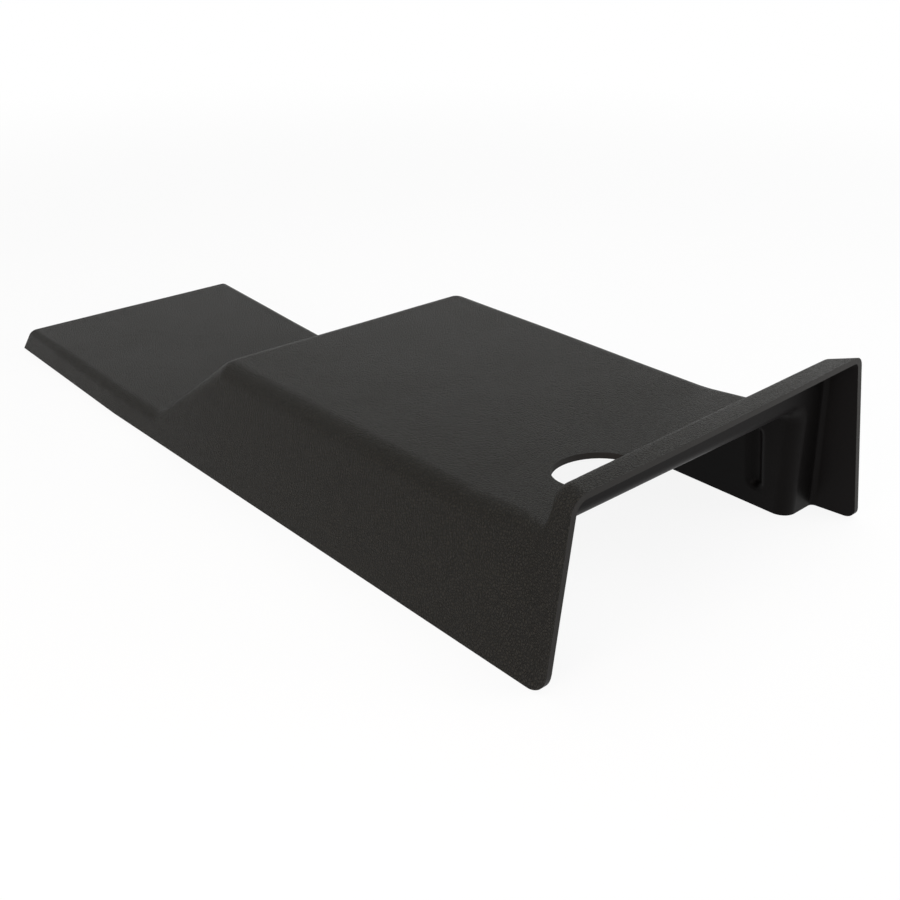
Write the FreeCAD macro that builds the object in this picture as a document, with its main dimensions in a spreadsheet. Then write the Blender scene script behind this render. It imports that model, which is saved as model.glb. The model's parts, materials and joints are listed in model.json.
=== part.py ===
"""Ramp leveler: a one-piece thermoformed ABS shell, open underneath and at its lip end.

Millimetres, with +X from the tail to the lip, +Y from the near wall to the far wall and +Z up. The
sizes are drawn from the point where the near wall's ground line meets the tail's end wall. The
finished shell is then placed with the middle of its footprint at the origin.

The form that the sheet wraps comes first, as a solid: a drafted main block cut to its side profile,
and a drafted lip block behind which the sheet steps up and out. Its core is what is left of it inside
the sheet's thickness. Form and core are then rounded along the near rim and the lip, each with its
own radii, and the shell is their difference. The hole and the free corners are trimmed last, as they
are on the formed sheet.
"""
import FreeCAD, Part
import math
import os
import re

import Sketcher

Vec = FreeCAD.Vector
SHARPEST = 0.5  # the least radius of an inside corner of the sheet

# name, value, meaning. Lengths are millimetres, angles degrees, and slopes plain ratios.
SIZES = [
    ("overall_length", 768.0, "near wall, tail to lip"),
    ("main_width", 306.0, "ground width of the main section"),
    ("sheet", 4.5, "thickness of the formed sheet"),
    ("wall_draft", 12.35, "inward lean of the walls"),
    ("far_draft", 10.45, "inward lean of the far wall"),
    ("end_draft", 34.0, "inward lean of the tail's end wall"),
    ("tail_height", 23.0, "low deck"),
    ("deck_height", 96.0, "high deck"),
    ("ramp_foot", 286.0, "where the ramp leaves the low deck"),
    ("ramp_length", 90.5, "from there to where it meets the high deck"),
    ("apron_length", 102.0, "from the start of the apron's rise to the lip end"),
    ("apron_slope", 0.112, "rise of the apron per millimetre"),
    ("tail_inset", 5.0, "how far the near wall has come in at the tail's end"),
    ("tail_inset_length", 213.0, "length over which it comes in"),
    ("near_bow", 1.5, "how far the near wall bows out where the tail starts to come in"),
    ("tail_narrower", 52.0, "how far the tail's far side stands in from the main block's, at its end"),
    ("tail_taper", 0.079, "inward run of the tail's far side per millimetre"),
    ("step_back", 16.0, "from the ramp's foot to the wall beside the tail"),
    ("flare_length", 3.0, "from the flare's start on the ground to the lip end"),
    ("flare", 0.216, "outward run of the flare per millimetre"),
    ("flare_draft", 7.02, "inward lean of the flared wall"),
    ("lip_depth", 33.0, "from the back of the lip block to the lip end, on the ground"),
    ("lip_back_draft", 5.31, "forward lean of the back of the lip block"),
    ("lip_out", 35.6, "how far the lip block's far side stands out, on the ground at its back"),
    ("lip_far_flare", 0.12, "outward run of the lip's far side per millimetre"),
    ("lip_far_draft", 14.04, "inward lean of the lip's far side"),
    ("lip_near_step", 39.7, "top of the lip block above the deck, at its back, near side"),
    ("lip_far_step", 37.2, "top of the lip block above the deck, at its back, far side"),
    ("lip_near_rise", -0.04, "rise of that top per millimetre, near side"),
    ("lip_far_rise", 0.345, "rise of that top per millimetre, far side"),
    ("front_skew", 1.32, "turn of the trimmed lip end from square"),
    ("tail_corner", 18.0, "plan radius of the tail's far corner"),
    ("step_corner", 20.0, "plan radius of the two corners beside the tail"),
    ("flare_blend", 60.0, "blend between the near wall and its flare"),
    ("foot_blend", 30.0, "blend at the ramp's foot"),
    ("crest_blend", 17.0, "blend at the ramp's crest"),
    ("apron_blend", 80.0, "blend where the apron starts"),
    ("tail_edge", 7.0, "rounding of the near rim at the tail's end"),
    ("low_edge", 11.0, "rounding of the low deck's edges"),
    ("high_edge", 17.0, "rounding of the high deck's edges"),
    ("apron_edge", 12.0, "rounding of the near rim part way up the apron"),
    ("draw_in", 22.0, "how far behind the lip block that is"),
    ("lip_edge", 5.5, "rounding of the near rim where the sheet steps up"),
    ("lip_corner", 13.5, "rounding of the lip's near top corner"),
    ("lip_far_corner", 9.5, "rounding of the lip's far top corner"),
    ("lip_crest", 9.0, "rounding of the lip's back edge"),
    ("lip_crease", 8.0, "blend between the main block and the lip block"),
    ("bead_back", 58.0, "from the stiffening bead in the far wall to the lip end"),
    ("bead_radius", 9.5, "outer radius of the bead"),
    ("bead_low", 24.0, "lower end of the bead's centre line"),
    ("bead_high", 68.0, "upper end of the bead's centre line"),
    ("bead_blend", 3.0, "blend round the foot of the bead"),
    ("hole_back", 57.0, "from the hole's centre to the lip end"),
    ("hole_across", 103.0, "hole centre from the near wall's ground line"),
    ("hole_radius", 30.5, "round hole through the apron"),
    ("near_trim", 15.0, "rounding of the near wall's free corner"),
    ("far_trim", 9.0, "rounding of the far wall's free corner"),
    ("overrun", 40.0, "how far the blocks run past the trimmed lip end"),
    ("underrun", 20.0, "how far the blocks run below the ground"),
    ("block_top", 180.0, "height of the blocks before their tops are cut"),
]

# Places that are measured from another size: the size, the direction and the distance.
PLACES = {
    "ramp_crest": ("ramp_foot", 1, "ramp_length"),
    "step_at": ("ramp_foot", 1, "step_back"),
    "apron_start": ("overall_length", -1, "apron_length"),
    "flare_start": ("overall_length", -1, "flare_length"),
    "lip_back": ("overall_length", -1, "lip_depth"),
    "bead_at": ("overall_length", -1, "bead_back"),
    "hole_at": ("overall_length", -1, "hole_back"),
    "lip_far": ("main_width", 1, "lip_out"),
    "tail_far": ("main_width", -1, "tail_narrower"),
    "lip_near_height": ("deck_height", 1, "lip_near_step"),
    "lip_far_height": ("deck_height", 1, "lip_far_step"),
}

doc = FreeCAD.newDocument("RampLeveler")
sizes = doc.addObject("Spreadsheet::Sheet", "Sizes")
for row, (alias, value, meaning) in enumerate(SIZES, start=1):
    sizes.set(f"A{row}", alias)
    sizes.set(f"B{row}", str(value))
    sizes.set(f"C{row}", meaning)
    sizes.setAlias(f"B{row}", alias)
doc.recompute()


def size(alias):
    """The number in the cell with this alias, or the place that follows from two cells."""
    if alias in PLACES:
        start, way, distance = PLACES[alias]
        return size(start) + way * size(distance)
    return float(sizes.get(alias))


def formula(text):
    """An expression in which every alias and place is written bare."""
    for place, (start, way, distance) in PLACES.items():
        text = re.sub(rf"\b{place}\b", f"({start} {'+' if way > 0 else '-'} {distance})", text)
    words = "|".join(alias for alias, _, _ in SIZES)
    return re.sub(rf"\b({words})\b", r"Sizes.\1", text)


def bind(thing, **formulas):
    """Bind properties to formulas. A double underscore stands for the dot of a nested property."""
    for name, text in formulas.items():
        thing.setExpression(name.replace("__", "."), formula(text))


def origin_plane(body, role):
    """One of a body's own origin planes."""
    return next(feature for feature in body.Origin.OriginFeatures if feature.Role == role)


def outline(body, name, plane, points, offset=None):
    """A closed outline of straight lines, each of its corners bound to two formulas."""
    sketch = body.newObject("Sketcher::SketchObject", name)
    sketch.AttachmentSupport = [(origin_plane(body, plane), "")]
    sketch.MapMode = "FlatFace"
    if offset:
        bind(sketch, AttachmentOffset__Base__z=offset)
    count = len(points)
    turns = [2 * math.pi * i / count for i in range(count)]
    start = [Vec(100 * math.cos(turn), 100 * math.sin(turn), 0) for turn in turns]
    for i in range(count):
        sketch.addGeometry(Part.LineSegment(start[i], start[(i + 1) % count]), False)
    for i in range(count):
        sketch.addConstraint(Sketcher.Constraint("Coincident", i, 2, (i + 1) % count, 1))
    for i, (across, up) in enumerate(points):
        for kind, text in (("DistanceX", across), ("DistanceY", up)):
            index = sketch.addConstraint(Sketcher.Constraint(kind, -1, 1, i, 1, 1.0))
            sketch.setExpression(f"Constraints[{index}]", formula(text))
    return sketch


def plan_pad(body, name, points):
    """A plan outline padded up to the blocks' top and down to below the ground."""
    pad = body.newObject("PartDesign::Pad", name)
    pad.Profile = outline(body, name + "Plan", "XY_Plane", points)
    pad.SideType = "Two sides"
    bind(pad, Length="block_top", Length2="underrun")
    doc.recompute()
    return pad


def draft(body, name, base, angle, test):
    """Lean inwards, about their ground lines, the walls whose normal and middle pass a test."""
    walls = [f"Face{i}" for i, face in enumerate(base.Shape.Faces, start=1)
             if abs(face.normalAt(0, 0).z) < 0.6 and test(face.normalAt(0, 0), face.CenterOfMass)]
    feature = body.newObject("PartDesign::Draft", name)
    feature.Base = (base, walls)
    feature.NeutralPlane = (origin_plane(body, "XY_Plane"), [""])
    bind(feature, Angle=angle)
    doc.recompute()
    return feature


def middle(edge):
    """The point half-way along an edge."""
    return edge.valueAt((edge.FirstParameter + edge.LastParameter) / 2)


def normals(shape, edge):
    """The outward normals of the faces that meet along an edge, at its middle."""
    faces = shape.ancestorsOfType(edge, Part.Face)
    return [face.normalAt(*face.Surface.parameter(middle(edge))) for face in faces]


def choose(shape, test):
    """The numbers of the edges between two faces whose middle point and normals pass a test."""
    chosen = []
    for number, edge in enumerate(shape.Edges, start=1):
        pair = normals(shape, edge)
        if len(pair) == 2 and test(middle(edge), *pair):
            chosen.append(number)
    return chosen


def upright_at(shape, x, y):
    """The edge between two walls whose line meets the ground nearest to a point of the plan."""
    def miss(number):
        low, high = sorted((v.Point for v in shape.Edges[number - 1].Vertexes), key=lambda p: p.z)
        foot = low + (high - low) * (-low.z / (high.z - low.z))
        return math.hypot(foot.x - x, foot.y - y)

    return min(choose(shape, lambda at, a, b: max(abs(a.z), abs(b.z)) < 0.4), key=miss)


def crossing_at(shape, x, z):
    """The edge across the deck nearest to a point of the side profile."""
    def miss(number):
        at = middle(shape.Edges[number - 1])
        return math.hypot(at.x - x, at.z - z)

    return min(choose(shape, lambda at, a, b: min(a.z, b.z) > 0.3), key=miss)


def blend(body, base, name, radius, numbers):
    """Round edges of a body's last feature with one radius."""
    feature = body.newObject("PartDesign::Fillet", name)
    feature.Base = (base, [f"Edge{number}" for number in numbers])
    bind(feature, Radius=radius)
    doc.recompute()
    return feature


def along(stations):
    """A law that runs evenly from one station along the shell to the next."""
    def radius(at):
        x, r = stations[0]
        for ahead, radius_ahead in stations:
            if at.x <= ahead:
                share = (at.x - x) / (ahead - x) if ahead > x else 1
                return r + (radius_ahead - r) * max(share, 0)
            x, r = ahead, radius_ahead
        return r

    return radius


def even(alias):
    """A law that gives one radius everywhere."""
    return lambda at: size(alias)


def ends(edge):
    """The two ends of an edge, each with the edge's direction there."""
    return [(edge.valueAt(at), edge.tangentAt(at)) for at in (edge.FirstParameter, edge.LastParameter)]


def runs_on(one, other):
    """Whether two ends meet smoothly."""
    return (one[0] - other[0]).Length < 0.01 and abs(one[1].dot(other[1])) > 0.99


def against_run(shape, numbers):
    """For each edge, whether it lies against its run, which goes the way of the run's first edge."""
    left = {number: ends(shape.Edges[number - 1]) for number in numbers}
    against = {}
    while left:
        number = next(iter(left))
        start, end = left.pop(number)
        against[number] = False
        for tip, onward in ((end, True), (start, False)):
            while True:
                found = next((n for n, pair in left.items() if any(runs_on(tip, e) for e in pair)), None)
                if found is None:
                    break
                first, last = left.pop(found)
                joins_at_first = runs_on(tip, first)
                against[found] = joins_at_first != onward
                tip = last if joins_at_first else first
    return against


def rounding(name, base, law, numbers):
    """Round edges with a radius that a law gives for a point.

    A fillet takes the radii of an edge in the order in which its run passes the edge's ends.
    """
    feature = doc.addObject("Part::Fillet", name)
    feature.Base = base
    rows = []
    for number, against in against_run(base.Shape, numbers).items():
        first, last = (law(point) for point, _ in ends(base.Shape.Edges[number - 1]))
        rows.append((number, last, first) if against else (number, first, last))
    feature.Edges = rows
    doc.recompute()
    return feature


def join(kind, name, base, tool):
    """A boolean of two objects, with coplanar faces merged."""
    feature = doc.addObject(kind, name)
    feature.Base = base
    feature.Tool = tool
    feature.Refine = True
    doc.recompute()
    return feature


# The main block: tail, ramp, high deck and apron.

FRONT = "(overall_length + overrun)"


def main_block():
    body = doc.addObject("PartDesign::Body", "MainBlock")
    block = plan_pad(body, "Main", [
        ("0", "tail_inset"),
        ("tail_inset_length", "-near_bow"),
        ("flare_start", "0"),
        (FRONT, f"-flare * ({FRONT} - flare_start)"),
        (FRONT, "main_width"),
        ("step_at", "main_width"),
        ("step_at", "tail_far - tail_taper * step_at"),
        ("0", "tail_far"),
    ])

    def is_flare(n, at):
        return n.y < -0.9 and n.x < -0.1

    def is_end(n, at):
        return n.x < -0.8 and at.x < size("step_at") / 2

    def is_far(n, at):
        return n.y > 0.9 and at.x > size("step_at")

    def is_plain(n, at):
        return n.x < 0.5 and not (is_flare(n, at) or is_end(n, at) or is_far(n, at))

    block = draft(body, "WallDraft", block, "wall_draft", is_plain)
    block = draft(body, "FarDraft", block, "far_draft", is_far)
    block = draft(body, "EndDraft", block, "end_draft", is_end)
    block = draft(body, "FlareDraft", block, "flare_draft", is_flare)

    far_out = f"({FRONT} + overrun)"
    above = body.newObject("PartDesign::Pocket", "AboveDecks")
    above.Profile = outline(body, "SideProfile", "XZ_Plane", [
        ("-overrun", "tail_height"),
        ("ramp_foot", "tail_height"),
        ("ramp_crest", "deck_height"),
        ("apron_start", "deck_height"),
        (far_out, f"deck_height + apron_slope * ({far_out} - apron_start)"),
        (far_out, "2 * block_top"),
        ("-overrun", "2 * block_top"),
    ])
    above.SideType = "Symmetric"
    bind(above, Length="4 * main_width")
    doc.recompute()

    def foot(x, y):
        return upright_at(body.Tip.Shape, x, y)

    def fold(x, z):
        return crossing_at(body.Tip.Shape, x, z)

    step_in = size("tail_far") - size("tail_taper") * size("step_at")
    blend(body, body.Tip, "FlareBlend", "flare_blend", [foot(size("flare_start"), 0)])
    blend(body, body.Tip, "TailCorner", "tail_corner", [foot(0, size("tail_far"))])
    blend(body, body.Tip, "StepCorners", "step_corner",
          [foot(size("step_at"), step_in), foot(size("step_at"), size("main_width"))])
    blend(body, body.Tip, "ApronBlend", "apron_blend", [fold(size("apron_start"), size("deck_height"))])
    blend(body, body.Tip, "CrestBlend", "crest_blend", [fold(size("ramp_crest"), size("deck_height"))])
    blend(body, body.Tip, "FootBlend", "foot_blend", [fold(size("ramp_foot"), size("tail_height"))])
    return body


def lip_block():
    """The block over which the sheet steps up and out to the lip."""
    body = doc.addObject("PartDesign::Body", "LipBlock")
    block = plan_pad(body, "Lip", [
        ("lip_back", "-flare * (lip_back - flare_start)"),
        (FRONT, f"-flare * ({FRONT} - flare_start)"),
        (FRONT, f"lip_far + lip_far_flare * ({FRONT} - lip_back)"),
        ("lip_back", "lip_far"),
    ])
    block = draft(body, "LipNearDraft", block, "flare_draft", lambda n, at: n.y < -0.9)
    block = draft(body, "LipFarDraft", block, "lip_far_draft", lambda n, at: n.y > 0.9)
    draft(body, "LipBackDraft", block, "lip_back_draft", lambda n, at: n.x < -0.9)

    # The top twists: its far side rises faster towards the lip than its near side.
    def section(name, at):
        near = f"(lip_near_height + lip_near_rise * ({at} - lip_back))"
        far = f"(lip_far_height + lip_far_rise * ({at} - lip_back))"
        spill = f"overrun * ({far} - {near}) / main_width"
        return outline(body, name, "YZ_Plane", [
            ("-overrun", f"{near} - {spill}"),
            ("main_width + overrun", f"{far} + {spill}"),
            ("main_width + overrun", "2 * block_top"),
            ("-overrun", "2 * block_top"),
        ], offset=at)

    top = body.newObject("PartDesign::SubtractiveLoft", "LipTop")
    top.Profile = section("LipTopBack", "(lip_back - overrun)")
    top.Sections = [section("LipTopFront", f"({FRONT} + overrun)")]
    top.Ruled = True
    doc.recompute()

    def corner(far):
        return choose(body.Tip.Shape, lambda at, a, b: (
            max(a.z, b.z) > 0.6 and max(abs(a.y), abs(b.y)) > 0.9 and (at.y > size("main_width") / 2) == far))

    blend(body, top, "LipNearCorner", "lip_corner", corner(False))
    blend(body, body.Tip, "LipFarCorner", "lip_far_corner", corner(True))
    return body


def facing(shape, test):
    """The names of the flat faces whose outward normal passes a test."""
    flat = [face.Surface.TypeId == "Part::GeomPlane" for face in shape.Faces]
    return [f"Face{i}" for i, face in enumerate(shape.Faces, start=1)
            if flat[i - 1] and test(face.normalAt(0, 0))]


def rim(at, a, b):
    """Whether an edge lies between a deck and a side wall."""
    side = min(a, b, key=lambda n: n.z)
    return max(a.z, b.z) > 0.6 and abs(side.z) < 0.4 and side.x < 0.95


def looks_near(n):
    return n.y < -0.9


# The radii of the rims, by station along the shell. The near rim follows the far one, and then
# draws in to the lip's small radius where the sheet steps up.
FAR_STATIONS = [(size("ramp_foot"), size("low_edge")), (size("ramp_crest"), size("high_edge"))]
NEAR_STATIONS = [
    (0, size("tail_edge")),
    (size("tail_inset_length"), size("low_edge")),
    *FAR_STATIONS,
    (size("apron_start"), size("high_edge")),
    (size("lip_back") - size("draw_in"), size("apron_edge")),
    (size("lip_back"), size("lip_edge")),
]


def backed(at, a, b):
    """Whether one of the faces is the back of the lip block."""
    return at.x > size("lip_back") - size("underrun") and min(a.x, b.x) < -0.9 and at.z > 0


def hollow(shape, at, a, b):
    """Whether the faces meet in an inside corner."""
    return shape.isInside(at + (a - b) * 0.1, 1e-3, False)


def wrapped_form():
    """The solid that the sheet wraps, with sharp edges only along the near rim and the lip's crest."""
    main = main_block()
    far_rim = choose(main.Shape, lambda at, a, b: rim(at, a, b) and not (looks_near(a) or looks_near(b)))
    main = rounding("FarRim", main, along(FAR_STATIONS), far_rim)

    form = join("Part::Fuse", "StepUp", main, lip_block())
    crease = choose(form.Shape, lambda at, a, b: backed(at, a, b) and hollow(form.Shape, at, a, b))
    form = rounding("LipCrease", form, even("lip_crease"), crease)

    form = join("Part::Fuse", "Beaded", form, bead())
    form = join("Part::Common", "Trimmed", form, trim_volume())

    def beside_bead(at, a, b):
        """Whether an edge is where the bead stands out of the far wall."""
        return (abs(at.x - size("bead_at")) < size("bead_radius") and min(a.y, b.y) > 0.3
                and size("sheet") < at.z < size("bead_high") + size("bead_radius") and a.dot(b) < 0.9)

    return rounding("BeadBlend", form, even("bead_blend"), choose(form.Shape, beside_bead))


def near_rounding(name, form, less):
    """Round the near rim and, from the crease on, the lip's back edge, in one run.

    The inside of the sheet takes the outside's radii less its thickness.
    """
    shape = form.Shape
    half_way_up = (size("deck_height") + size("lip_near_height")) / 2

    def crest(at, a, b):
        return backed(at, a, b) and not hollow(shape, at, a, b) and a.dot(b) < 0.9

    def near(at, a, b):
        return max(a.z, b.z) > 0.6 and looks_near(a) != looks_near(b) and at.y < size("main_width") / 2

    def law(at):
        on_crest = at.x > size("lip_back") and at.z > half_way_up or at.y > size("main_width") / 2
        outer = size("lip_crest") if on_crest else along(NEAR_STATIONS)(at)
        return max(outer - less, SHARPEST)

    return rounding(name, form, law, choose(shape, lambda *edge: crest(*edge) or near(*edge)))


def tilted(thing, x, y, z, axis, angle):
    """Place a primitive at a point given by formulas, leaning about one axis."""
    thing.Placement = FreeCAD.Placement(Vec(), FreeCAD.Rotation(axis, 1))
    bind(thing, Placement__Base__x=x, Placement__Base__y=y, Placement__Base__z=z,
         Placement__Rotation__Angle=angle)
    return thing


def bead():
    """A capsule whose centre line runs up the inside face of the far wall."""
    def piece(kind, name, z, **formulas):
        thing = doc.addObject(kind, name)
        bind(thing, Radius="bead_radius", **formulas)
        wall = "(main_width - sheet / cos(far_draft))"
        return tilted(thing, "bead_at", f"{wall} - {z} * tan(far_draft)", z, Vec(1, 0, 0), "far_draft")

    capsule = doc.addObject("Part::MultiFuse", "Bead")
    capsule.Shapes = [
        piece("Part::Sphere", "BeadFoot", "bead_low"),
        piece("Part::Cylinder", "BeadRod", "bead_low", Height="(bead_high - bead_low) / cos(far_draft)"),
        piece("Part::Sphere", "BeadHead", "bead_high"),
    ]
    capsule.Refine = True
    doc.recompute()
    return capsule


def trim_volume():
    """Everything above the ground and behind the turned plane of the lip end."""
    body = doc.addObject("PartDesign::Body", "TrimVolume")
    turn = "tan(front_skew)"
    pad = body.newObject("PartDesign::Pad", "TrimPad")
    pad.Profile = outline(body, "TrimPlan", "XY_Plane", [
        ("-overrun", "-2 * overrun"),
        (f"overall_length - 2 * overrun * {turn}", "-2 * overrun"),
        (f"overall_length + 2 * main_width * {turn}", "2 * main_width"),
        ("-overrun", "2 * main_width"),
    ])
    bind(pad, Length="2 * block_top")
    doc.recompute()
    return body


def hole_tool():
    """A cylinder through the apron, square to it."""
    tool = doc.addObject("Part::Cylinder", "HoleTool")
    bind(tool, Radius="hole_radius", Height="4 * sheet")
    surface = "(deck_height + apron_slope * (hole_at - apron_start))"
    return tilted(tool, "hole_at + 2 * sheet * sin(atan(apron_slope))", "hole_across",
                  f"{surface} - 2 * sheet * cos(atan(apron_slope))", Vec(0, 1, 0), "-atan(apron_slope)")


def corner_tool(name, front, radius, start):
    """What rounds the free lower corner of a side wall: a square bar less a round one, both along Y."""
    bar = doc.addObject("Part::Box", name + "Bar")
    bind(bar, Length=f"{radius} + sheet", Width="main_width", Height=f"{radius} + sheet")
    bind(bar, Placement__Base__x=f"{front} - {radius}", Placement__Base__y=start, Placement__Base__z="-sheet")
    rod = doc.addObject("Part::Cylinder", name + "Rod")
    bind(rod, Radius=radius, Height="3 * main_width")
    tilted(rod, f"{front} - {radius}", f"{start} - main_width", radius, Vec(-1, 0, 0), "90")
    return join("Part::Cut", name, bar, rod)


def moulded_shell():
    """The sheet: the wrapped form less its core, then drilled and trimmed."""
    form = wrapped_form()
    wall = doc.addObject("Part::Thickness", "SharpShell")
    wall.Faces = (form, facing(form.Shape, lambda n: n.z < -0.99 or n.x > 0.99))
    wall.Mode = "Skin"
    wall.Join = "Arc"
    bind(wall, Value="-sheet")
    doc.recompute()

    core = join("Part::Cut", "Core", form, wall)
    outside = near_rounding("Outside", form, 0)
    inside = near_rounding("Inside", core, size("sheet"))
    shell = join("Part::Cut", "Shell", outside, inside)
    shell = join("Part::Cut", "Drilled", shell, hole_tool())

    # The lip end is turned, so the far wall's corner lies further out than the near wall's.
    far_front = "(overall_length + lip_far * tan(front_skew))"
    near_tool = corner_tool("NearCorner", "overall_length", "near_trim", "-main_width / 2")
    far_tool = corner_tool("FarCorner", far_front, "far_trim", "main_width / 2")
    shell = join("Part::Cut", "NearTrimmed", shell, near_tool)
    return join("Part::Cut", "FarTrimmed", shell, far_tool)


shell = moulded_shell()
shell.Label = "moulded_shell"

for thing in doc.Objects:
    if {"Invalid", "Error"} & set(thing.State):
        raise RuntimeError(f"{thing.Name} failed: {thing.State}")
if shell.Shape.isNull() or not shell.Shape.isValid() or len(shell.Shape.Solids) != 1:
    raise RuntimeError("the shell is not one valid solid")

# The origin is the middle of the footprint, on the ground.
box = shell.Shape.optimalBoundingBox(False)
shell.Placement.Base = Vec(-(box.XMin + box.XMax) / 2, -(box.YMin + box.YMax) / 2, 0)
doc.recompute()

os.makedirs("parts", exist_ok=True)
shell.Shape.exportStep(f"parts/{shell.Label}.step")
print(f"{shell.Label}: {box.XLength:.1f} x {box.YLength:.1f} x {box.ZLength:.1f} mm,",
      f"{shell.Shape.Volume / 1000:.0f} cm3, {len(shell.Shape.Faces)} faces")
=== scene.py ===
# %% [markdown]
# # A moulded ABS ramp leveler
#
# The real object is a single sheet of charcoal ABS, warmed until it is soft and drawn over a form by
# vacuum. It has a low tail, a short ramp, a raised deck, an apron with a round hole, and a lip that
# stands up and reaches out. Nothing is bolted or glued to it, so the scene has one piece.
#
# The lesson starts from the solid model of that sheet, which is already true to size. What a solid
# modeller leaves out is added here: the softened edge that a router leaves where it trims the sheet,
# walls that are never quite flat, and the pressed leather grain.

# %% Load the frame
import json
import math

import bmesh
import bpy
from mathutils import Matrix, Vector, noise

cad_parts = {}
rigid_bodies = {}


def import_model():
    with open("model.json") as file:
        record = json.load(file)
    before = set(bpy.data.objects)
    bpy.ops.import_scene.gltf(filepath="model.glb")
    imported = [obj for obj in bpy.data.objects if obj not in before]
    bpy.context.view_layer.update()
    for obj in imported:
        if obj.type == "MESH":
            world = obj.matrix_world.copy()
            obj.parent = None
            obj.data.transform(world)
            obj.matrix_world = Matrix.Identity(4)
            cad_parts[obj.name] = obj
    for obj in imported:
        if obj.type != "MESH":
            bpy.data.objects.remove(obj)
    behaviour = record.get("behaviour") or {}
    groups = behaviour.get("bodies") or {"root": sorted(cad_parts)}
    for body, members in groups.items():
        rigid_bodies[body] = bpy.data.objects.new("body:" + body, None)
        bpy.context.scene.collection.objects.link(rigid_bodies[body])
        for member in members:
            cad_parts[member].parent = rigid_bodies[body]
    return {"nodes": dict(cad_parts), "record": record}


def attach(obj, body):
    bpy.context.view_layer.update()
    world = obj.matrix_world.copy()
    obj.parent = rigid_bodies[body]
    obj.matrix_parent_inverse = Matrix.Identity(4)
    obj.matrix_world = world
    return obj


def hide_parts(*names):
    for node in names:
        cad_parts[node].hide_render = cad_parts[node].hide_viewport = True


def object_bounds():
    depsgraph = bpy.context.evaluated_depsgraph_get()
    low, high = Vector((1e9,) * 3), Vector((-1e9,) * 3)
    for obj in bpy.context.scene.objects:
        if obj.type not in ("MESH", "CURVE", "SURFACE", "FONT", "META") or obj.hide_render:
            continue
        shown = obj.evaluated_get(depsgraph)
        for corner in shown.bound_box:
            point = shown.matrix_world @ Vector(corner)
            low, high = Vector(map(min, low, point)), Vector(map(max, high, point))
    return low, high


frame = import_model()
cad_low, cad_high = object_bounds()
scene = bpy.context.scene
MM = 0.001
print("solid model, mm:", [round(v / MM, 1) for v in cad_high - cad_low])

# %% [markdown]
# ## The camera
#
# The object is seen from above its lip end, with the near wall turned towards us. A long lens a little
# over a metre away keeps the walls' lines close to parallel. The camera's place is given from the low
# corner of the model's box, so it follows the object if the object moves.

# %% Camera
PLACE_FROM_LOW_CORNER = Vector((1.1535, -0.4230, 0.4587))
TURN = math.radians(48.103)
TILT = math.radians(63.259)
ROLL = 0.005

camera_data = bpy.data.cameras.new("camera")
camera_data.sensor_width = 36.0
camera_data.lens = 46.519
camera = bpy.data.objects.new("camera", camera_data)
scene.collection.objects.link(camera)
camera.matrix_world = (
    Matrix.Translation(cad_low + PLACE_FROM_LOW_CORNER)
    @ Matrix.Rotation(TURN, 4, "Z")
    @ Matrix.Rotation(TILT, 4, "X")
    @ Matrix.Rotation(ROLL, 4, "Z")
)
scene.camera = camera
print("camera at", [round(v, 3) for v in camera.location])

# %% [markdown]
# ## Two helpers for working by hand
#
# Every operator acts on what is selected, so each step starts by choosing one object and putting
# everything else aside. Faces are then picked by where they are or which way they look.

# %% Selection helpers
def work_on(thing):
    """Make one object the only one selected, and the active one."""
    bpy.ops.object.select_all(action="DESELECT")
    thing.select_set(True)
    bpy.context.view_layer.objects.active = thing


def pick_faces(thing, test):
    """Select the faces whose middle and normal pass a test, and say how many there are."""
    bpy.ops.object.mode_set(mode="EDIT")
    bpy.ops.mesh.select_mode(type="FACE")
    bpy.ops.mesh.select_all(action="DESELECT")
    mesh = bmesh.from_edit_mesh(thing.data)
    chosen = [face for face in mesh.faces if test(face.calc_center_median(), face.normal)]
    for face in chosen:
        face.select_set(True)
    bmesh.update_edit_mesh(thing.data)
    return len(chosen)


# %% [markdown]
# ## The sheet
#
# The sheet could be modelled again from a plane, but its walls, folds and radii are already right in
# the solid model. So the work starts from a copy of that mesh. Its triangles are loose, and merging
# the doubles joins them into one surface. Dissolving then takes out the edges that lie in flat places,
# which leaves clean faces for the bevel.

# %% Copy the solid's mesh
SAME_POINT = 0.002 * MM
FLAT_ENOUGH = math.radians(0.4)

node = frame["nodes"]["moulded_shell"]
shell = bpy.data.objects.new("formed_sheet", node.data.copy())
shell.data.materials.clear()
scene.collection.objects.link(shell)
work_on(shell)
bpy.ops.object.mode_set(mode="EDIT")
bpy.ops.mesh.select_all(action="SELECT")
bpy.ops.mesh.remove_doubles(threshold=SAME_POINT)
bpy.ops.mesh.dissolve_limited(angle_limit=FLAT_ENOUGH)
bpy.ops.object.mode_set(mode="OBJECT")
print("joined sheet:", len(shell.data.polygons), "faces")

# %% [markdown]
# ## Where the router trims the sheet
#
# The sheet is bought with a leather grain pressed into one side, and its other side is smooth. Where
# the router trims it, the raw plastic shows. That is along the ground, along the lip end with its two
# rounded corners, and inside the round hole. Each of these places is told by where its faces are and
# which way they look. The hole's place and radius come from the record, so it is found wherever it is.

# %% Slots for the finishes, and the places that are trimmed
SMOOTH_BACK, GRAINED_FACE, TRIMMED_EDGE = range(3)
for name in ("smooth_back_shaded_abs", "leather_grain_abs", "routed_edge_abs"):
    shell.data.materials.append(bpy.data.materials.new(name))

FRONT = cad_high.x
hole = next(mount for mount in frame["record"]["mounts"] if mount["name"] == "round_hole")
HOLE_MIDDLE = Vector(hole["pos_m"][:2])
HOLE_REACH = hole["dims"]["r_mm"] * MM + 2.5 * MM


def on_the_ground(at, normal):
    """The rim that the object rests on."""
    return normal.z < -0.99 and at.z < 0.5 * MM


def on_the_lip_end(at, normal):
    """The cut across the lip and down both walls."""
    return normal.x > 0.93 and at.x > FRONT - 25 * MM


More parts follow.
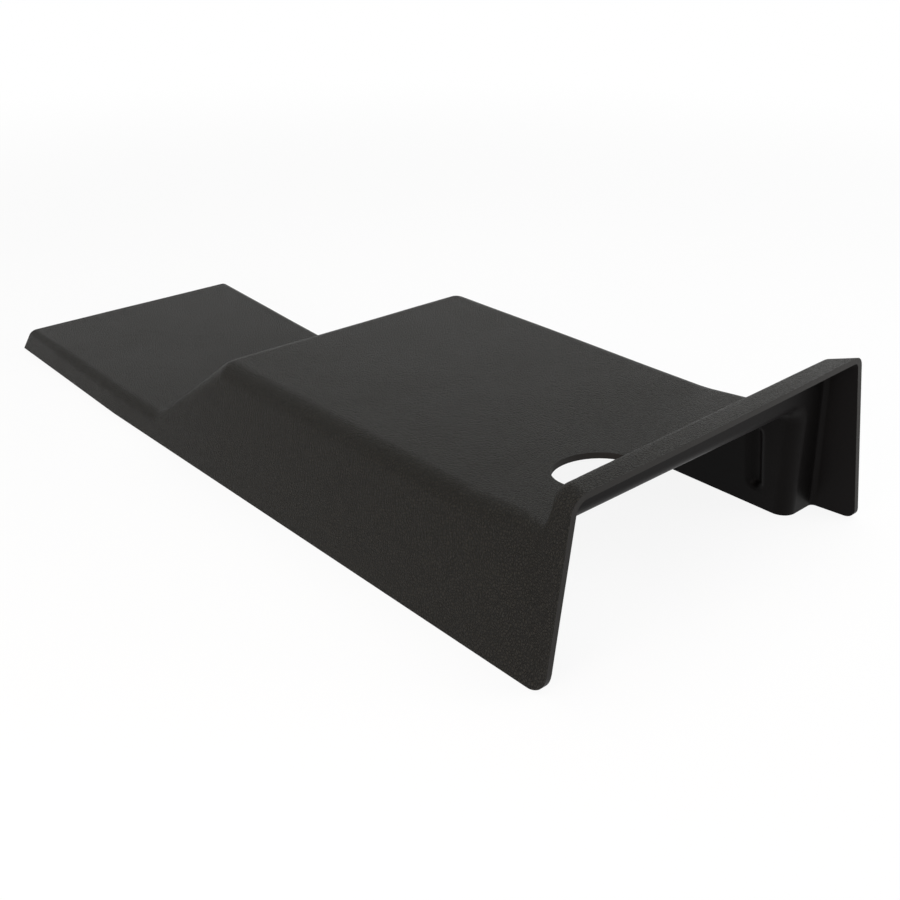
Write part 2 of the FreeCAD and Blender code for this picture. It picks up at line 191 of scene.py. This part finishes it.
def on_a_front_corner(at, normal):
    """The rounding where that cut meets the ground."""
    return abs(normal.y) < 0.5 and at.x > FRONT - 60 * MM and at.z < 20 * MM


def in_the_hole(at, normal):
    """The wall of the hole, which stands nearly upright."""
    return abs(normal.z) < 0.2 and (at.xy - HOLE_MIDDLE).length < HOLE_REACH


TRIMMED_PLACES = (on_the_ground, on_the_lip_end, on_a_front_corner, in_the_hole)
trimmed = pick_faces(shell, lambda at, normal: any(place(at, normal) for place in TRIMMED_PLACES))
shell.active_material_index = TRIMMED_EDGE
bpy.ops.object.material_slot_assign()
print("trimmed faces:", trimmed)

# %% [markdown]
# ## The grained side
#
# The trimmed faces divide the grained side from the smooth side all the way round. So it is enough to
# pick the flat of the deck, and to select what is linked to it with the materials as the limit. That
# flood stops at the trimmed faces. Everything that it doesn't reach keeps the first slot, which is the
# smooth side.

# %% Flood the grained side from the deck
DECK_MIDDLE_X = (cad_low.x + cad_high.x) / 2 + 50 * MM
HALF_DECK = 150 * MM
BELOW_DECK = 90 * MM

deck = pick_faces(shell, lambda at, normal: (
    normal.z > 0.999 and at.z > BELOW_DECK and abs(at.x - DECK_MIDDLE_X) < HALF_DECK))
bpy.ops.mesh.select_linked(delimit={"MATERIAL"})
shell.active_material_index = GRAINED_FACE
bpy.ops.object.material_slot_assign()
bpy.ops.object.mode_set(mode="OBJECT")
counts = [sum(face.material_index == slot for face in shell.data.polygons) for slot in range(3)]
print("deck faces:", deck, " smooth, grained, trimmed:", counts)

# %% [markdown]
# ## The softened edge
#
# A router leaves a crisp edge, and a scraper then takes off the burr. A bevel of half a millimetre
# does the same here. It catches a thin line of light, without which the edge would look like paper.
# It could be a modifier with an angle limit, but picking the borders of the trimmed faces keeps the
# bevel off the moulded folds.

# %% Bevel the trimmed edges
SCRAPED_OFF = 0.5 * MM

bpy.ops.object.mode_set(mode="EDIT")
bpy.ops.mesh.select_mode(type="EDGE")
bpy.ops.mesh.select_all(action="DESELECT")
mesh = bmesh.from_edit_mesh(shell.data)
for edge in mesh.edges:
    kinds = {face.material_index for face in edge.link_faces}
    if len(kinds) == 2 and TRIMMED_EDGE in kinds:
        edge.select_set(True)
bmesh.update_edit_mesh(shell.data)
bpy.ops.mesh.bevel(
    offset=SCRAPED_OFF, segments=3, profile=0.5, clamp_overlap=True, material=TRIMMED_EDGE)
bpy.ops.object.mode_set(mode="OBJECT")
print("after the bevel:", len(shell.data.polygons), "faces")

# %% [markdown]
# ## An even mesh
#
# The next step bends the walls a little, and a big flat face has no points that could move. Subdividing
# would cut the small faces of the folds as often as the big ones. Bisect planes at even distances along
# the length, the width and the height cut only what is larger than one step.

# %% Cut the sheet evenly
STEP = 14 * MM

bpy.ops.object.mode_set(mode="EDIT")
for axis in range(3):
    normal = [float(axis == i) for i in range(3)]
    extent = cad_high[axis] - cad_low[axis]
    count = int(extent / STEP)
    for i in range(1, count):
        place = [0.0, 0.0, 0.0]
        place[axis] = cad_low[axis] + i * extent / count
        bpy.ops.mesh.select_all(action="SELECT")
        bpy.ops.mesh.bisect(plane_co=place, plane_no=normal)
bpy.ops.object.mode_set(mode="OBJECT")
print("evenly cut:", len(shell.data.polygons), "faces,", len(shell.data.vertices), "points")

# %% [markdown]
# ## Walls that are not quite flat
#
# Warm sheet sags and cools unevenly, so a large flat wall is always a little wavy. It shows only as a
# slow change in the shine. Every point moves a fraction of a millimetre along a smooth noise, which has
# long waves and weaker short ones. Both sides of the sheet move together, so its thickness stays. The
# movement fades out near the ground and at the sides of the object's box, so the object keeps its size.
# The noise starts at a random place unless it is given a seed, so it gets one, and every run is alike.

# %% Let the walls wander
WANDER = 0.3 * MM
LONG_WAVES, SHORT_WAVES = 11.0, 23.0
SHORT_SHARE = 0.4
SHORT_SHIFT = Vector((7, 3, 5))
STILL_WITHIN = 1 * MM
FADES_OVER = 25 * MM

noise.seed_set(11)
for vertex in shell.data.vertices:
    at = vertex.co
    room = min(min(at[i] - cad_low[i], cad_high[i] - at[i]) for i in range(3))
    fade = min(1.0, max(0.0, room - STILL_WITHIN) / FADES_OVER)
    push = noise.noise_vector(at * LONG_WAVES)
    push += SHORT_SHARE * noise.noise_vector(at * SHORT_WAVES + SHORT_SHIFT)
    vertex.co = at + push * WANDER * fade
shell.data.update()
print("walls wander by about", WANDER / MM, "mm")

# %% [markdown]
# ## Smooth shading
#
# The folds are many narrow faces, and shading each one flat would show them as facets. Smoothing by
# angle blends them, while the trimmed edges stay sharp. A big flat face beside a small one would then
# get a false shadow along its border. Weighted normals cure that, because they let the larger face
# decide. They come from a modifier, which is applied.

# %% Smooth shading with weighted normals
SHARP_FROM = math.radians(35)

work_on(shell)
bpy.ops.object.shade_smooth_by_angle(angle=SHARP_FROM)
weighted = shell.modifiers.new("weighted normals", "WEIGHTED_NORMAL")
weighted.mode = "FACE_AREA"
weighted.weight = 60
weighted.keep_sharp = True
bpy.ops.object.modifier_apply(modifier=weighted.name)
print("smooth faces:", sum(face.use_smooth for face in shell.data.polygons))

# %% [markdown]
# ## Helpers for node trees
#
# A material could be wired by hand, node by node. These three helpers shorten what repeats: starting a
# node group with named sockets, adding a node with its values, and doing sums with sockets.

# %% Node helpers
def start_group(name, inputs, outputs):
    """A shader node group with named sockets, and its input and output nodes."""
    group = bpy.data.node_groups.new(name, "ShaderNodeTree")
    for socket, kind, value in inputs:
        made = group.interface.new_socket(socket, in_out="INPUT", socket_type=kind)
        if value is not None:
            made.default_value = value
    for socket, kind in outputs:
        group.interface.new_socket(socket, in_out="OUTPUT", socket_type=kind)
    return group, group.nodes.new("NodeGroupInput"), group.nodes.new("NodeGroupOutput")


def add(tree, kind, **settings):
    """Add a node. A setting named after an input fills that input, and any other is a property."""
    made = tree.nodes.new("ShaderNode" + kind)
    for name, value in settings.items():
        socket = made.inputs.get(name.replace("_", " "))
        if socket is not None and not hasattr(made, name):
            socket.default_value = value
        else:
            setattr(made, name, value)
    return made


def calculate(tree, operation, first, second):
    """A Math node on two sockets or numbers, giving its output socket."""
    made = tree.nodes.new("ShaderNodeMath")
    made.operation = operation
    for socket, value in zip(made.inputs, (first, second)):
        if isinstance(value, (int, float)):
            socket.default_value = value
        else:
            tree.links.new(value, socket)
    return made.outputs[0]


# %% [markdown]
# ## Pressed leather grain
#
# The grain is a net of small pillows with fine creases between them. A picture of leather could be
# laid over the sheet, but it would have seams and one fixed size. The distance to the edge of a Voronoi
# pattern's cells gives the pillows and creases everywhere instead. A soft noise bends the pattern, so
# that the cells aren't too even, and a fine noise roughens the tops. The group gives a height for the
# relief, and a mask that says where the creases are.

# %% Leather grain
CELLS_PER_METRE = 480.0
BEND_BY = 2.2 * MM
CREASE_WIDTH = 0.22
CREASE_DEPTH = -0.75
FINE_HEIGHT = 0.5

grain, grain_in, grain_out = start_group(
    "pressed_leather_grain",
    [("Position", "NodeSocketVector", None), ("Cells per metre", "NodeSocketFloat", CELLS_PER_METRE)],
    [("Height", "NodeSocketFloat"), ("Creases", "NodeSocketFloat")])
bend = add(grain, "TexNoise", Scale=260.0, Detail=2.0)
shift = add(grain, "VectorMath", operation="MULTIPLY_ADD")
shift.inputs[1].default_value = (BEND_BY, BEND_BY, BEND_BY)
pillows = add(grain, "TexVoronoi", feature="DISTANCE_TO_EDGE")
fine = add(grain, "TexNoise", Scale=1900.0, Detail=3.0, Roughness=0.6)
creases = add(
    grain, "MapRange", interpolation_type="SMOOTHSTEP",
    From_Min=0.0, From_Max=CREASE_WIDTH, To_Min=1.0, To_Max=0.0)
grain.links.new(grain_in.outputs["Position"], bend.inputs["Vector"])
grain.links.new(bend.outputs["Color"], shift.inputs[0])
grain.links.new(grain_in.outputs["Position"], shift.inputs[2])
grain.links.new(shift.outputs[0], pillows.inputs["Vector"])
grain.links.new(grain_in.outputs["Cells per metre"], pillows.inputs["Scale"])
grain.links.new(grain_in.outputs["Position"], fine.inputs["Vector"])
grain.links.new(pillows.outputs["Distance"], creases.inputs["Value"])
low = calculate(grain, "MULTIPLY", creases.outputs[0], CREASE_DEPTH)
rough = calculate(grain, "MULTIPLY", fine.outputs["Fac"], FINE_HEIGHT)
grain.links.new(calculate(grain, "ADD", low, rough), grain_out.inputs["Height"])
grain.links.new(creases.outputs[0], grain_out.inputs["Creases"])
print("grain cells:", round(1000 / CELLS_PER_METRE, 2), "mm")

# %% [markdown]
# ## Mottled colour
#
# Moulded plastic is never one even black. A cloudy noise goes between a darker and a lighter colour, and
# the same noise is given out as a mask. The finishes use that mask for their roughness, so the places
# that are lighter are also a little duller.

# %% Mottled colour
mottle, mottle_in, mottle_out = start_group(
    "mottled_colour",
    [("Position", "NodeSocketVector", None), ("Dark", "NodeSocketColor", (0, 0, 0, 1)),
     ("Light", "NodeSocketColor", (1, 1, 1, 1))],
    [("Color", "NodeSocketColor"), ("Mask", "NodeSocketFloat")])


def mix_colours(tree, factor, first, second, blend="MIX"):
    """A Mix node for colours, giving its output socket. The second colour is a socket or a value."""
    made = add(tree, "Mix", data_type="RGBA", blend_type=blend)
    share_socket, first_socket, second_socket = made.inputs[0], made.inputs[6], made.inputs[7]
    tree.links.new(factor, share_socket)
    tree.links.new(first, first_socket)
    if isinstance(second, tuple):
        second_socket.default_value = second
    else:
        tree.links.new(second, second_socket)
    return made.outputs[2]


clouds = add(mottle, "TexNoise", Scale=14.0, Detail=5.0, Roughness=0.65)
mottle.links.new(mottle_in.outputs["Position"], clouds.inputs["Vector"])
mottle.links.new(
    mix_colours(mottle, clouds.outputs["Fac"], mottle_in.outputs["Dark"], mottle_in.outputs["Light"]),
    mottle_out.inputs["Color"])
mottle.links.new(clouds.outputs["Fac"], mottle_out.inputs["Mask"])
print("effects:", [group.name for group in bpy.data.node_groups])

# %% [markdown]
# ## What the three finishes share
#
# All three are the same black plastic with a different surface. So each one starts as mottled black
# under the Principled shader, and then gets its own relief from a Bump node. The shader stays in the
# material itself, and the groups only hand it colours and masks.

# %% Helpers for the finishes
def finish_of(slot, dark, light, roughness, spread, specular):
    """A mottled plastic in one of the sheet's slots, with its shader and its position socket."""
    material = shell.data.materials[slot]
    material.use_nodes = True
    tree = material.node_tree
    shader = tree.nodes["Principled BSDF"]
    shader.inputs["Specular IOR Level"].default_value = specular
    position = tree.nodes.new("ShaderNodeTexCoord").outputs["Object"]
    colour = tree.nodes.new("ShaderNodeGroup")
    colour.node_tree = mottle
    colour.inputs["Dark"].default_value = (*dark, 1)
    colour.inputs["Light"].default_value = (*light, 1)
    shine = add(tree, "MapRange", To_Min=roughness - spread, To_Max=roughness + spread)
    tree.links.new(position, colour.inputs["Position"])
    tree.links.new(colour.outputs["Color"], shader.inputs["Base Color"])
    tree.links.new(colour.outputs["Mask"], shine.inputs["Value"])
    tree.links.new(shine.outputs[0], shader.inputs["Roughness"])
    print(material.name, "roughness", roughness, "specular level", specular)
    return tree, shader, position


def raise_from(tree, shader, height, distance):
    """Turn a height in the range of about 0 to 1 into a normal."""
    relief = add(tree, "Bump", Strength=1.0, Distance=distance)
    tree.links.new(height, relief.inputs["Height"])
    tree.links.new(relief.outputs[0], shader.inputs["Normal"])


# %% [markdown]
# ## The outside: leather grain
#
# The pressed side is dull, and light hardly gets into its creases. Relief alone would leave them as
# light as the pillows, so the creases get painted shade: their colour is darkened.

# %% Leather grain on the outside
tree, shader, position = finish_of(
    GRAINED_FACE, dark=(0.0118, 0.0112, 0.0088), light=(0.0168, 0.0159, 0.0126),
    roughness=0.42, spread=0.06, specular=0.10)
leather = tree.nodes.new("ShaderNodeGroup")
leather.node_tree = grain
tree.links.new(position, leather.inputs["Position"])
raise_from(tree, shader, leather.outputs["Height"], 1.0 * MM)
# Painted shade: the colour in the creases is multiplied by 0.35.
CREASE_PAINTED_SHADE = (0.35, 0.35, 0.35, 1)
plastic = shader.inputs["Base Color"].links[0].from_socket
tree.links.new(
    mix_colours(tree, leather.outputs["Creases"], plastic, CREASE_PAINTED_SHADE, "MULTIPLY"),
    shader.inputs["Base Color"])

# %% [markdown]
# ## The inside: the smooth back
#
# This side lay against the form. Its colour is made about three times darker than the grained side's,
# as painted shade for the shadowed inside of the shell, and a faint ripple from the form keeps its shine
# from being a mirror's.

# %% Smooth back on the inside
tree, shader, position = finish_of(
    # Painted shade: these colours are darker than the outside's, for the shadow inside the shell.
    SMOOTH_BACK, dark=(0.0042, 0.0038, 0.0038), light=(0.0064, 0.0058, 0.0058),
    roughness=0.40, spread=0.04, specular=0.04)
ripple = add(tree, "TexNoise", Scale=240.0, Detail=3.0)
tree.links.new(position, ripple.inputs["Vector"])
raise_from(tree, shader, ripple.outputs["Fac"], 0.05 * MM)

# %% [markdown]
# ## The trimmed edge
#
# A cutter leaves fine marks close together, which make the raw edge the lightest and dullest of the
# three.

# %% Raw plastic where the sheet is cut
tree, shader, position = finish_of(
    TRIMMED_EDGE, dark=(0.013, 0.012, 0.011), light=(0.020, 0.019, 0.018),
    roughness=0.5, spread=0.05, specular=0.10)
cutter = add(tree, "TexNoise", Scale=900.0, Detail=2.0)
tree.links.new(position, cutter.inputs["Vector"])
raise_from(tree, shader, cutter.outputs["Fac"], 0.05 * MM)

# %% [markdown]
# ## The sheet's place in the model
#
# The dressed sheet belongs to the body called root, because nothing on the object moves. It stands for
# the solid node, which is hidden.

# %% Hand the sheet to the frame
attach(shell, "root")
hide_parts("moulded_shell")
print("dressed:", shell.name, "with", len(shell.data.materials), "finishes")

# %% [markdown]
# ## White paper under the object
#
# A studio would use a sheet of white paper and a lot of light. More light would also wash out the black
# plastic, so the paper is made white another way. A ray from the camera, or one that the plastic
# reflects, mostly finds a plain white glow. Every other ray finds an ordinary pale surface. A small
# share of that surface is kept near the object, so its shadow still lies on the paper, and it fades out
# further away. From below, the paper is clear, so that the underside can be seen.

# %% Rays that see the surroundings
def seen_directly(tree):
    """One for a ray that the camera sends, straight or by a reflection, and nothing for the others."""
    path = tree.nodes.new("ShaderNodeLightPath")
    first = calculate(tree, "MAXIMUM", path.outputs["Is Camera Ray"], path.outputs["Is Glossy Ray"])
    return calculate(tree, "MAXIMUM", first, path.outputs["Is Transmission Ray"])


# %% Floor
FLOOR_SIZE = 40.0
FLOOR_GAP = 0.2 * MM
PAPER = (0.85, 0.85, 0.85, 1)
WHITE = (1, 1, 1, 1)

bpy.ops.mesh.primitive_plane_add(size=FLOOR_SIZE, location=(0, 0, cad_low.z - FLOOR_GAP))
floor = bpy.context.object
floor.name = "floor"
paper = bpy.data.materials.new("white_paper")
paper.use_nodes = True
floor.data.materials.append(paper)
print("floor at", round(floor.location.z / MM, 1), "mm")

# %% Paper that is white for the camera and for reflections
tree = paper.node_tree
tree.nodes.clear()
plain = add(tree, "BsdfDiffuse", Color=PAPER)
white = add(tree, "Emission", Color=WHITE, Strength=1.0)
away = add(tree, "VectorMath", operation="LENGTH")
whiteness = add(
    tree, "MapRange", interpolation_type="SMOOTHSTEP",
    From_Min=0.7, From_Max=2.0, To_Min=0.9, To_Max=1.0)
mixed = tree.nodes.new("ShaderNodeMixShader")
position = tree.nodes.new("ShaderNodeTexCoord").outputs["Object"]
tree.links.new(position, away.inputs[0])
tree.links.new(away.outputs["Value"], whiteness.inputs["Value"])
tree.links.new(
    calculate(tree, "MULTIPLY", seen_directly(tree), whiteness.outputs[0]), mixed.inputs[0])
tree.links.new(plain.outputs[0], mixed.inputs[1])
tree.links.new(white.outputs[0], mixed.inputs[2])

from_below = tree.nodes.new("ShaderNodeMixShader")
backfacing = tree.nodes.new("ShaderNodeNewGeometry").outputs["Backfacing"]
clear = tree.nodes.new("ShaderNodeBsdfTransparent")
surface = tree.nodes.new("ShaderNodeOutputMaterial").inputs["Surface"]
tree.links.new(backfacing, from_below.inputs[0])
tree.links.new(mixed.outputs[0], from_below.inputs[1])
tree.links.new(clear.outputs[0], from_below.inputs[2])
tree.links.new(from_below.outputs[0], surface)
print("paper shader:", len(tree.nodes), "nodes")

# %% [markdown]
# ## The room
#
# The world does the same as the paper. The camera and the reflections see it as white, while all the
# other rays get a third of that, which is the soft light of a room.

# %% World
ROOM_LIGHT = 0.34

world = bpy.data.worlds.new("studio")
scene.world = world
world.use_nodes = True
tree = world.node_tree
air = tree.nodes["Background"]
air.inputs["Color"].default_value = WHITE
strength = add(tree, "MapRange", To_Min=ROOM_LIGHT, To_Max=1.0)
tree.links.new(seen_directly(tree), strength.inputs["Value"])
tree.links.new(strength.outputs[0], air.inputs["Strength"])
print("room light:", ROOM_LIGHT)

# %% [markdown]
# ## Lamps
#
# Three soft boxes stand round the object. A large one hangs above and lights the deck. One stands low
# in front of the lip end, towards its far side, and lights what shows in the open end. A small warm one
# faces the near wall, which would otherwise be too dark to show its grain. Large lamps give soft
# shadows, as they do in a studio.

# %% Three soft boxes
def soft_lamp(name, place, aim, width, height, power, colour=(1, 1, 1)):
    """An area lamp, in metres and watts, that looks at a point."""
    data = bpy.data.lights.new(name, "AREA")
    data.shape = "RECTANGLE"
    data.size = width
    data.size_y = height
    data.energy = power
    data.color = colour
    lamp = bpy.data.objects.new(name, data)
    scene.collection.objects.link(lamp)
    lamp.location = place
    lamp.rotation_euler = (Vector(aim) - Vector(place)).to_track_quat("-Z", "Y").to_euler()
    print(name, power, "W")


soft_lamp("top_light", (0.45, 0.15, 1.5), (0.1, 0, 0), 1.9, 1.9, 20.0)
soft_lamp("lip_light", (1.35, 1.0, 0.3), (0.36, 0, 0.11), 0.8, 0.8, 14.0)
soft_lamp("wall_light", (0.5, -1.3, 0.3), (0.36, -0.17, 0.05), 0.5, 0.4, 12.0, (1.0, 0.86, 0.80))

scene.view_settings.view_transform = "Standard"
